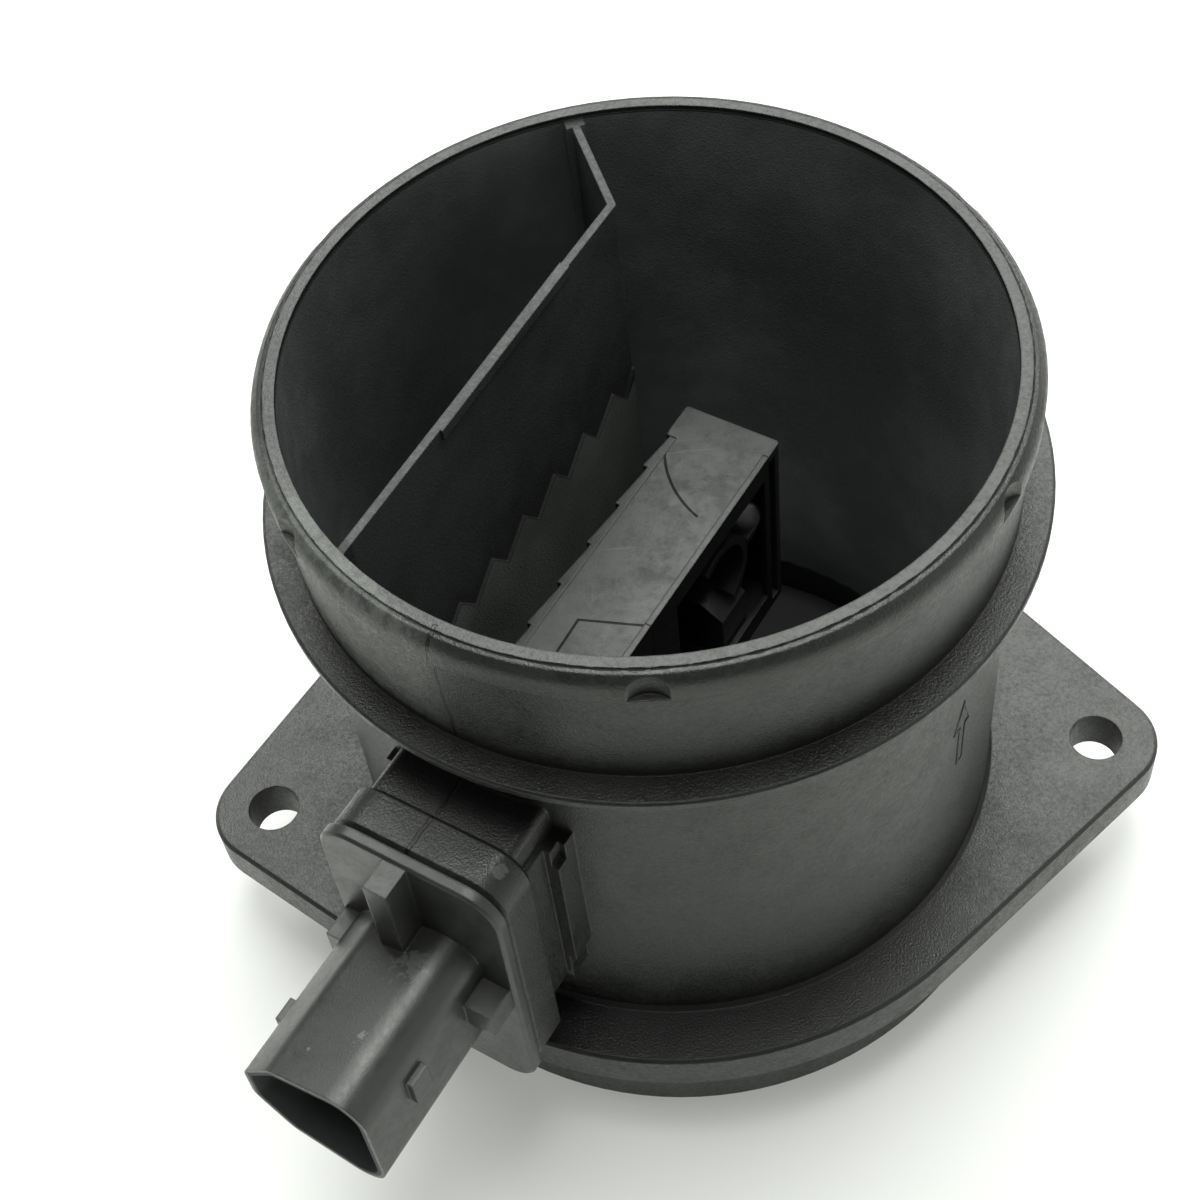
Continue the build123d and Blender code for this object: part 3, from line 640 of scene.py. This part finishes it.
@dataclass(frozen=True)
class SensorPlastic(Plastic):
    """The sensor's plastic: lines, stains and scratches on top of the probe, nicks and a painted highlight
    patch on the connector, and painted fill light in its socket.

    Args:
        top_z: height of the probe's top.
        arc_centre: centre of the curved joint line, outward and across.
        arc_r: its radius.
        joint: corners of the stepped joint line near the tube, outward and across.
        line_half: half width of the lines.
        shell_z: middle height of the connector's shell.
        shell_from: distance outward at which the shell starts.
        flecks: two nicks and the painted highlight patch on the shell, each as outward, across and radius.
    """

    top_z: float = 51.2
    arc_centre: Pair = (-18.57, 8.42)
    arc_r: float = 15.91
    joint: tuple[Pair, ...] = ((21.7, -1.3), (16.6, -1.5), (15.7, 0.8), (13.4, 6.7))
    line_half: float = 0.08
    shell_z: float = 32.0
    shell_from: float = 57.0
    flecks: tuple[tuple[float, float, float], ...] = ((70.0, 2.3, 1.0), (74.0, -2.4, 0.7), (60.4, 2.4, 3.2))

    def socket(self, graph: Graph, outward: Val, across: Val, z: Val) -> Val:
        """1 inside the connector's shell, 0 outside.

        With t the place across and h the distance from the shell's middle height, the inside has h below
        both 8.55 + 0.212 t and 13.09 + 1.09 t, t above -9.4, and a rounded end of radius 3.7 about
        t = 3.6 and h = 5.52.
        """
        height = abs(z - self.shell_z)
        room = (8.55 + 0.212 * across - height).least(13.09 + 1.09 * across - height)
        corner = graph.span((across - 3.6).most(0.0), (height - 5.52).most(0.0))
        room = room.least(across + 9.4).least(3.7 - corner).least(outward - self.shell_from)
        return room.step(-0.05, 0.05)

    def marks(self, graph: Graph) -> Marks:
        """The lines, stains and scratches on the probe's top, the shell's nicks and painted highlight patch,
        and the dull socket with painted fill light and painted shade tint.
        """
        outward, across, z = along(graph, OUTWARD), along(graph, ACROSS), graph.axes()[2]
        spot = (outward, across)
        top = z.step(self.top_z - 0.3, self.top_z - 0.1) * outward.step(40.0, 39.0)
        ring = graph.span(outward - self.arc_centre[0], across - self.arc_centre[1])
        line = abs(ring - self.arc_r) + across.step(3.2, 4.2)
        for first, last in zip(self.joint, self.joint[1:]):
            line = line.least(graph.stretch_from(spot, first, last))
        line = line.step(self.line_half + 0.12, self.line_half) * top
        stain = graph.noise(0.3, 6.0, 0.75).step(0.42, 0.66) * top
        scratch = graph.streaks(-98.0, 14.0, 1.6).step(0.7, 0.76) * top
        rub = graph.noise(0.5, 5.0, 0.75).step(0.58, 0.72) * outward.step(8.0, 17.0) * top
        shell = z.step(38.0, 39.0) * outward.step(self.shell_from, self.shell_from + 1.0)
        # The third fleck is a painted highlight patch near the shell's root; the first two are nicks.
        large, small, paled = (graph.fleck(spot, (out, side), radius) for out, side, radius in self.flecks)
        nick, paled = large.most(small) * shell, paled * shell
        socket = self.socket(graph, outward, across, z)
        return Marks(
            # Painted fill light: tone makes the inside of the connector's socket paler; cool gives it the
            # painted shade tint.
            tone=1.0 + 1.2 * socket - (0.3 * stain + 0.95 * line).least(0.95),
            dull=0.1 * top + 0.12 * stain + 0.4 * line + 0.45 * socket - 0.08 * rub,
            edge_factor=1.0 - socket,
            pale_share=(0.12 * scratch + 0.2 * rub + 0.6 * nick + 0.3 * paled).least(1.0),
            groove=line,
            cool=socket,
        )


@dataclass(frozen=True)
class MetalFinish:
    """Drawn or stamped metal.

    Args:
        name: the material's name.
        metal: which metal.
        roughness: mean roughness.
    """

    name: str
    metal: Metal
    roughness: float

    def build(self) -> bpy.types.Material:
        """Makes the material: a brushed skin, with duller and darker spots."""
        graph = Graph(self.name)
        spot = graph.noise(0.8, 3.0, 0.6)
        fine = graph.noise(6.0, 2.0, 0.6)
        colour = graph.shade(
            graph.tint(spot.step(0.4, 0.7), self.metal.value, tuple(0.7 * part for part in self.metal.value)),
            0.85 + 0.3 * fine,
        )
        roughness = self.roughness + 0.25 * (spot - 0.4)
        return graph.finish(Base_Color=colour, Roughness=roughness, Metallic=1.0, Normal=graph.bump(fine, 0.01))


@dataclass(frozen=True)
class Rubber:
    """Black seal rubber with a dusty bloom.

    Args:
        name: the material's name.
        colour: its tone.
        bloom: tone of the bloom.
    """

    name: str
    colour: Colour
    bloom: Colour

    def build(self) -> bpy.types.Material:
        """Makes the material: bloom in patches on a soft, fine-pored skin."""
        graph = Graph(self.name)
        patch = graph.noise(0.4, 4.0, 0.65)
        pore = graph.noise(4.0, 2.0, 0.5)
        colour = graph.tint(patch.step(0.45, 0.75) * 0.5, self.colour, self.bloom)
        return graph.finish(
            Base_Color=graph.shade(colour, 0.9 + 0.2 * pore),
            Roughness=0.75 + 0.2 * patch,
            Normal=graph.bump(pore, 0.015),
        )


@dataclass(frozen=True)
class Ceramic:
    """Fired or glassy part of the electronics.

    Args:
        name: the material's name.
        colour: its tone.
        tracks: tone of the printed tracks on it.
        roughness: mean roughness.
        pitch: spacing of the tracks in millimetres.
    """

    name: str
    colour: Colour
    tracks: Colour
    roughness: float
    pitch: float

    def build(self) -> bpy.types.Material:
        """Makes the material: printed tracks that jog now and then, on a fine grain."""
        graph = Graph(self.name)
        z = graph.axes()[2]
        outward = along(graph, OUTWARD)
        jog = (graph.noise(0.12, 0.0) * 8.0).whole() * self.pitch * 0.5
        track = (z + jog).wrap(self.pitch).band(self.pitch * 0.5, self.pitch * 0.14, 0.03)
        gate = (outward * 0.21 + jog).wrap(1.0).step(0.3, 0.34)
        fine = graph.noise(3.0, 3.0, 0.6)
        colour = graph.tint(track * gate, self.colour, self.tracks)
        return graph.finish(
            Base_Color=graph.shade(colour, 0.88 + 0.24 * fine),
            Roughness=self.roughness + 0.2 * (fine - 0.5),
            Normal=graph.bump(track * gate * 0.7 + fine * 0.3, 0.02),
        )


def merged(source: bpy.types.Mesh, name: str) -> bpy.types.Mesh:
    """Copy of a mesh of loose triangles, with corners at the same place joined.

    Corners are numbered by their place in steps of MERGE_M, and triangles that lose a corner are left out.

    Args:
        source: the loose triangles.
        name: the copy's name.

    Returns:
        The joined mesh.
    """
    points = np.empty(len(source.vertices) * 3)
    source.vertices.foreach_get("co", points)
    corners = np.empty(len(source.loops), np.int64)
    source.loops.foreach_get("vertex_index", corners)
    places = points.reshape(-1, 3)
    _, first, number = np.unique(np.round(places / MERGE_M), axis=0, return_index=True, return_inverse=True)
    triangles = number.reshape(-1)[corners].reshape(-1, 3)
    whole = (triangles != np.roll(triangles, 1, 1)).all(1)
    mesh = bpy.data.meshes.new(name)
    mesh.from_pydata(places[first].tolist(), [], triangles[whole].tolist())
    return mesh


@dataclass
class Solid:
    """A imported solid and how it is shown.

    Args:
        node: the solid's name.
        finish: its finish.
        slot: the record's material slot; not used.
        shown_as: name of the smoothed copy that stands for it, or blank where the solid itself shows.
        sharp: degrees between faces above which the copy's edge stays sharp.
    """

    node: str
    finish: Any
    slot: str
    shown_as: str = ""
    sharp: float = 24.0

    def build(self, frame: dict[str, Any], library: "Library") -> bpy.types.Object:
        """Dresses the solid, or a smoothed copy of it.

        Args:
            library: the finishes made so far.

        Returns:
            The object that shows.
        """
        source = frame["nodes"][self.node]
        material = library.get(self.finish)
        if not self.shown_as:
            source.data.materials.clear()
            source.data.materials.append(material)
            LOG.info("%s: %s", self.node, self.finish.name)
            return source
        mesh = merged(source.data, self.shown_as)
        mesh.polygons.foreach_set("use_smooth", np.ones(len(mesh.polygons), bool))
        mesh.set_sharp_from_angle(angle=math.radians(self.sharp))
        mesh.materials.append(material)
        piece = bpy.data.objects.new(self.shown_as, mesh)
        bpy.context.scene.collection.objects.link(piece)
        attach(piece, BODY)
        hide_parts(self.node)
        LOG.info("%s stands for %s: %d faces", self.shown_as, self.node, len(mesh.polygons))
        return piece


class Library:
    """Finishes, each made once."""

    def __init__(self) -> None:
        """Starts empty."""
        self._made: dict[str, bpy.types.Material] = {}

    def get(self, finish: Any) -> bpy.types.Material:
        """The finish's material, made on first use."""
        if finish.name not in self._made:
            self._made[finish.name] = finish.build()
        return self._made[finish.name]


HOUSING = HousingPlastic(
    "housing_plastic", (0.010, 0.0112, 0.0098), (0.015, 0.0164, 0.0146), 0.40, Grain.ERODED
)
BODY_PLASTIC = SensorPlastic(
    "sensor_plastic", (0.021, 0.0227, 0.0206), (0.029, 0.0312, 0.0285), 0.37, Grain.FINE
)
COVER_PLASTIC = Plastic("cover_plastic", (0.008, 0.0088, 0.008), (0.013, 0.014, 0.0127), 0.42, Grain.FINE)
CHIP_PLASTIC = Plastic("chip_plastic", (0.008, 0.008, 0.0085), (0.014, 0.014, 0.014), 0.4, Grain.FINE, 0.1)
CARRIER_PLASTIC = Plastic(
    "carrier_plastic", (0.02, 0.021, 0.02), (0.03, 0.031, 0.03), 0.45, Grain.SMOOTH, 0.1
)
BOARD = Ceramic("board_ceramic", (0.42, 0.44, 0.40), (0.16, 0.17, 0.15), 0.5, 1.6)
FILM = Ceramic("film_glass", (0.08, 0.11, 0.16), (0.5, 0.45, 0.3), 0.15, 0.5)
BEAD = Ceramic("bead_glass", (0.02, 0.03, 0.025), (0.03, 0.04, 0.035), 0.3, 2.4)
PIN_METAL = MetalFinish("pin_metal", Metal.BRASS, 0.3)
LEAD_METAL = MetalFinish("lead_metal", Metal.TIN, 0.35)
PLATE_METAL = MetalFinish("plate_metal", Metal.ALUMINIUM, 0.4)
SEAL = Rubber("seal_rubber", (0.004, 0.004, 0.004), (0.012, 0.012, 0.0115))


@dataclass
class FlowArrow:
    """Outline of an arrow along the flow, a low round ridge on the tube.

    Args:
        tube_r: outside of the tube in millimetres.
        azimuth: its middle, in degrees round the duct.
        tip_z: height of the tip.
        barb_z: height of the barbs.
        tail_z: height of the tail.
        barb_half: half width at the barbs.
        shaft_half: half width of the shaft.
        ridge_half: half width of the ridge.
        ridge_h: height of the ridge.
        sink: how deep its edges lie in the tube.
    """

    tube_r: float = 42.3
    azimuth: float = -37.7
    tip_z: float = 46.0
    barb_z: float = 41.1
    tail_z: float = 33.7
    barb_half: float = 1.7
    shaft_half: float = 0.6
    ridge_half: float = 0.17
    ridge_h: float = 0.16
    sink: float = 0.05

    def outline(self) -> np.ndarray:
        """Corners of the arrow as distance across and height, in millimetres."""
        return np.array([
            (0.0, self.tip_z), (self.barb_half, self.barb_z), (self.shaft_half, self.barb_z),
            (self.shaft_half, self.tail_z), (-self.shaft_half, self.tail_z),
            (-self.shaft_half, self.barb_z), (-self.barb_half, self.barb_z),
        ])

    def build(self, library: Library) -> bpy.types.Object:
        """Carries a half-round profile along the outline.

        The profile at angle a is ridge_half cos a sideways and ridge_h sin a outward. At a corner the
        sideways direction is the mean of the two edges' normals, longer by 1 / cos of half the turn.
        A point then goes round the tube: its angle is the azimuth plus its distance over the radius.

        Args:
            library: the finishes.

        Returns:
            The ridge.
        """
        corners = self.outline()
        edges = np.roll(corners, -1, 0) - corners
        edges /= np.linalg.norm(edges, axis=1)[:, None]
        normals = np.stack([edges[:, 1], -edges[:, 0]], 1)
        mitre = normals + np.roll(normals, 1, 0)
        mitre /= (mitre * normals).sum(1)[:, None]
        turn = np.linspace(0.0, math.pi, 9)
        side, lift = np.cos(turn) * self.ridge_half, np.sin(turn) * self.ridge_h
        lift[[0, -1]] = -self.sink
        spot = corners[:, None, :] + mitre[:, None, :] * side[None, :, None]
        radius = np.broadcast_to(self.tube_r + lift, spot.shape[:2])
        angle = math.radians(self.azimuth) + spot[..., 0] / self.tube_r
        points = np.stack([radius * np.cos(angle), radius * np.sin(angle), spot[..., 1]], -1) * MM
        piece = surface("flow_arrow", points, True, library.get(HOUSING))
        return piece


def surface(name: str, points: np.ndarray, closed: bool, material: bpy.types.Material) -> bpy.types.Object:
    """Mesh of a grid of points, with a quad between each four neighbours.

    Args:
        name: the piece's name.
        points: rows, columns and x, y, z in metres.
        closed: whether the last row joins the first.
        material: its finish.

    Returns:
        The object, riding on the body.
    """
    rows, columns = points.shape[:2]
    index = np.arange(rows * columns).reshape(rows, columns)
    first = index if closed else index[:-1]
    second = np.roll(index, -1, 0) if closed else index[1:]
    quads = np.stack([first[:, :-1], first[:, 1:], second[:, 1:], second[:, :-1]], -1).reshape(-1, 4)
    mesh = bpy.data.meshes.new(name)
    mesh.from_pydata(points.reshape(-1, 3).tolist(), [], quads.tolist())
    mesh.polygons.foreach_set("use_smooth", np.ones(len(mesh.polygons), bool))
    mesh.materials.append(material)
    piece = bpy.data.objects.new(name, mesh)
    bpy.context.scene.collection.objects.link(piece)
    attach(piece, BODY)
    return piece


@dataclass
class DuctHousing:
    """Tube, flange, boss and divider, with the seal under the flange and the flow arrow.

    Args:
        arrow: the flow arrow.
    """

    arrow: FlowArrow = field(default_factory=FlowArrow)

    def build(self, frame: dict[str, Any], library: Library) -> None:
        """Dresses the housing and adds the arrow."""
        Solid("duct_housing", HOUSING, "housing_plastic", "duct_shell").build(frame, library)
        Solid("flange_seal", SEAL, "seal_rubber").build(frame, library)
        self.arrow.build(library)
        LOG.info("flow_arrow on the tube")


@dataclass
class SensorUnit:
    """Plug-in unit: plate, connector, probe with its covers, electronics and pins.

    Args:
        pins: number of contact pins.
    """

    pins: int = 5

    def solids(self) -> list[Solid]:
        """The unit's solids in order of fitting."""
        return [
            Solid("sensor_body", BODY_PLASTIC, "sensor_plastic", "sensor_moulding", 35.0),
            Solid("socket_seal", SEAL, "seal_rubber"),
            Solid("channel_cover", COVER_PLASTIC, "cover_plastic", "channel_side"),
            Solid("window_cover", COVER_PLASTIC, "cover_plastic", "window_frame"),
            Solid("electronics_lid", COVER_PLASTIC, "cover_plastic", "chamber_lid"),
            Solid("base_plate", PLATE_METAL, "plate_metal"),
            Solid("circuit_board", BOARD, "board_ceramic"),
            Solid("signal_chip", CHIP_PLASTIC, "chip_plastic"),
            Solid("chip_carrier", CARRIER_PLASTIC, "carrier_plastic"),
            Solid("film_chip", FILM, "film_glass"),
            Solid("temperature_bead", BEAD, "bead_glass", "air_bead"),
            Solid("lead_lower", LEAD_METAL, "lead_metal", "wire_lower"),
            Solid("lead_upper", LEAD_METAL, "lead_metal", "wire_upper"),
            *(Solid(f"pin_{number + 1}", PIN_METAL, "pin_metal") for number in range(self.pins)),
        ]

    def build(self, frame: dict[str, Any], library: Library) -> None:
        """Dresses each solid."""
        for solid in self.solids():
            solid.build(frame, library)


@dataclass
class Lamp:
    """A square soft light.

    Args:
        name: its name.
        azimuth: where it stands, in degrees round the duct.
        elevation: degrees above the floor.
        distance: metres from the middle of the part.
        size: side in metres.
        power: watts.
    """

    name: str
    azimuth: float
    elevation: float
    distance: float
    size: float
    power: float

    def build(self) -> None:
        """Hangs the light and turns it to the part."""
        data = bpy.data.lights.new(self.name, "AREA")
        data.size = self.size
        data.energy = self.power
        lamp = bpy.data.objects.new(self.name, data)
        turn, rise = math.radians(self.azimuth), math.radians(self.elevation)
        away = Vector((math.cos(turn) * math.cos(rise), math.sin(turn) * math.cos(rise), math.sin(rise)))
        facing = away.to_track_quat("Z", "Y").to_matrix().to_4x4()
        lamp.matrix_world = Matrix.Translation(away * self.distance) @ facing
        bpy.context.scene.collection.objects.link(lamp)
        LOG.info("light %s", self.name)


@dataclass
class Studio:
    """Floor, lights, surrounding light and camera.

    Args:
        floor_z: height of the floor in metres.
        floor_half: half of the floor's side in metres.
        floor_glow: light of the floor itself, which keeps the shadows on it soft.
        lens: focal length in millimetres on the sensor width.
        eye: the camera's place in millimetres.
        right: the picture's rightward direction.
        up: its upward direction.
        back: the direction from the part to the camera.
        sensor_width: width of the camera's sensor in millimetres.
        ambient: strength of the light from all round.
        ambient_front: its strength on the camera's side.
        card_r: radius of the dark card, painted shade for the floor inside the duct, in millimetres.
        lamps: the lights.
    """

    floor_z: float = -0.014
    floor_half: float = 3.0
    floor_glow: float = 0.27
    lens: float = 62.994
    sensor_width: float = 36.0
    eye: tuple[float, float, float] = (1.195, -160.62, 250.58)
    right: tuple[float, float, float] = (0.995465, -0.04895, -0.081568)
    up: tuple[float, float, float] = (0.08813, 0.797358, 0.597037)
    back: tuple[float, float, float] = (0.035814, -0.601518, 0.798056)
    ambient: float = 0.32
    ambient_front: float = 0.1
    card_r: float = 43.5
    lamps: tuple[Lamp, ...] = (
        Lamp("back_softbox", 80.0, 54.0, 1.2, 1.3, 26.0),
        Lamp("top", 60.0, 84.0, 1.2, 0.5, 5.0),
        Lamp("side_right", -20.0, 22.0, 1.2, 0.8, 1.5),
        Lamp("top_front", -100.0, 83.0, 1.2, 0.4, 3.5),
    )

    def floor(self) -> None:
        """A pale matt floor."""
        graph = Graph("pale_floor")
        cloud = graph.noise(0.004, 2.0)
        colour = graph.tint(cloud, (0.57, 0.588, 0.556), (0.6, 0.618, 0.585))
        half = self.floor_half
        mesh = bpy.data.meshes.new("floor")
        corners = [(-half, -half, self.floor_z), (half, -half, self.floor_z),
                   (half, half, self.floor_z), (-half, half, self.floor_z)]
        mesh.from_pydata(corners, [], [(0, 1, 2, 3)])
        glow = {"Emission_Color": GREENISH, "Emission_Strength": self.floor_glow}
        mesh.materials.append(graph.finish(Base_Color=colour, Roughness=0.9, **glow))
        plane = bpy.data.objects.new("floor", mesh)
        bpy.context.scene.collection.objects.link(plane)

    def card(self) -> None:
        """A dark round card on the floor inside the duct, painted shade for the floor seen down the bore, which
        only a look down the bore meets.
        """
        graph = Graph("painted_shade_card")
        # Painted shade: the card's dark colour stands for the shade on the floor inside the duct.
        colour = graph.tint(graph.noise(0.05), (0.022, 0.0225, 0.022), (0.03, 0.0305, 0.03))
        turn = np.linspace(0.0, 2.0 * math.pi, 96, endpoint=False)
        height = np.full_like(turn, self.floor_z + 0.0002)
        rim = np.stack([np.cos(turn) * self.card_r * MM, np.sin(turn) * self.card_r * MM, height], 1)
        mesh = bpy.data.meshes.new("painted_shade_card")
        mesh.from_pydata(rim.tolist(), [], [list(range(len(rim)))])
        mesh.materials.append(graph.finish(Base_Color=colour, Roughness=0.95))
        card = bpy.data.objects.new("painted_shade_card", mesh)
        bpy.context.scene.collection.objects.link(card)

    def camera(self) -> None:
        """The camera at the photograph's angle."""
        data = bpy.data.cameras.new("photo_camera")
        data.lens = self.lens
        data.sensor_width = self.sensor_width
        data.clip_start = 0.01
        data.clip_end = 20.0
        camera = bpy.data.objects.new("photo_camera", data)
        place = [value * MM for value in self.eye]
        rows = [[self.right[row], self.up[row], self.back[row], place[row]] for row in range(3)]
        camera.matrix_world = Matrix([*rows, [0.0, 0.0, 0.0, 1.0]])
        bpy.context.scene.collection.objects.link(camera)
        bpy.context.scene.camera = camera

    def surroundings(self) -> None:
        """Pale light from all round, dimmer from the camera's side; the camera itself sees it even."""
        world = bpy.data.worlds.new("studio")
        world.use_nodes = True
        tree = world.node_tree
        background = tree.nodes["Background"]
        background.inputs["Color"].default_value = (1.0, 1.0, 1.0, 1.0)
        split = tree.nodes.new("ShaderNodeSeparateXYZ")
        tree.links.new(tree.nodes.new("ShaderNodeTexCoord").outputs["Generated"], split.inputs[0])
        dome = tree.nodes.new("ShaderNodeMapRange")
        dome.inputs["From Min"].default_value = -0.7
        dome.inputs["From Max"].default_value = 0.3
        dome.inputs["To Min"].default_value = self.ambient_front
        dome.inputs["To Max"].default_value = self.ambient
        tree.links.new(split.outputs["Y"], dome.inputs["Value"])
        seen = tree.nodes.new("ShaderNodeMapRange")
        seen.inputs["To Max"].default_value = 0.9
        tree.links.new(tree.nodes.new("ShaderNodeLightPath").outputs["Is Camera Ray"], seen.inputs["Value"])
        tree.links.new(dome.outputs[0], seen.inputs["To Min"])
        tree.links.new(seen.outputs[0], background.inputs["Strength"])
        bpy.context.scene.world = world
        bpy.context.scene.view_settings.view_transform = "Standard"

    def build(self) -> None:
        """Sets up the studio."""
        self.floor()
        self.card()
        self.surroundings()
        for lamp in self.lamps:
            lamp.build()
        self.camera()
        LOG.info("studio ready")


def main() -> None:
    """Builds the pieces in order."""
    logging.basicConfig(level=logging.INFO, format="%(message)s")
    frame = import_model()
    library = Library()
    DuctHousing().build(frame, library)
    SensorUnit().build(frame, library)
    Studio().build()


if __name__ == "__main__":
    main()
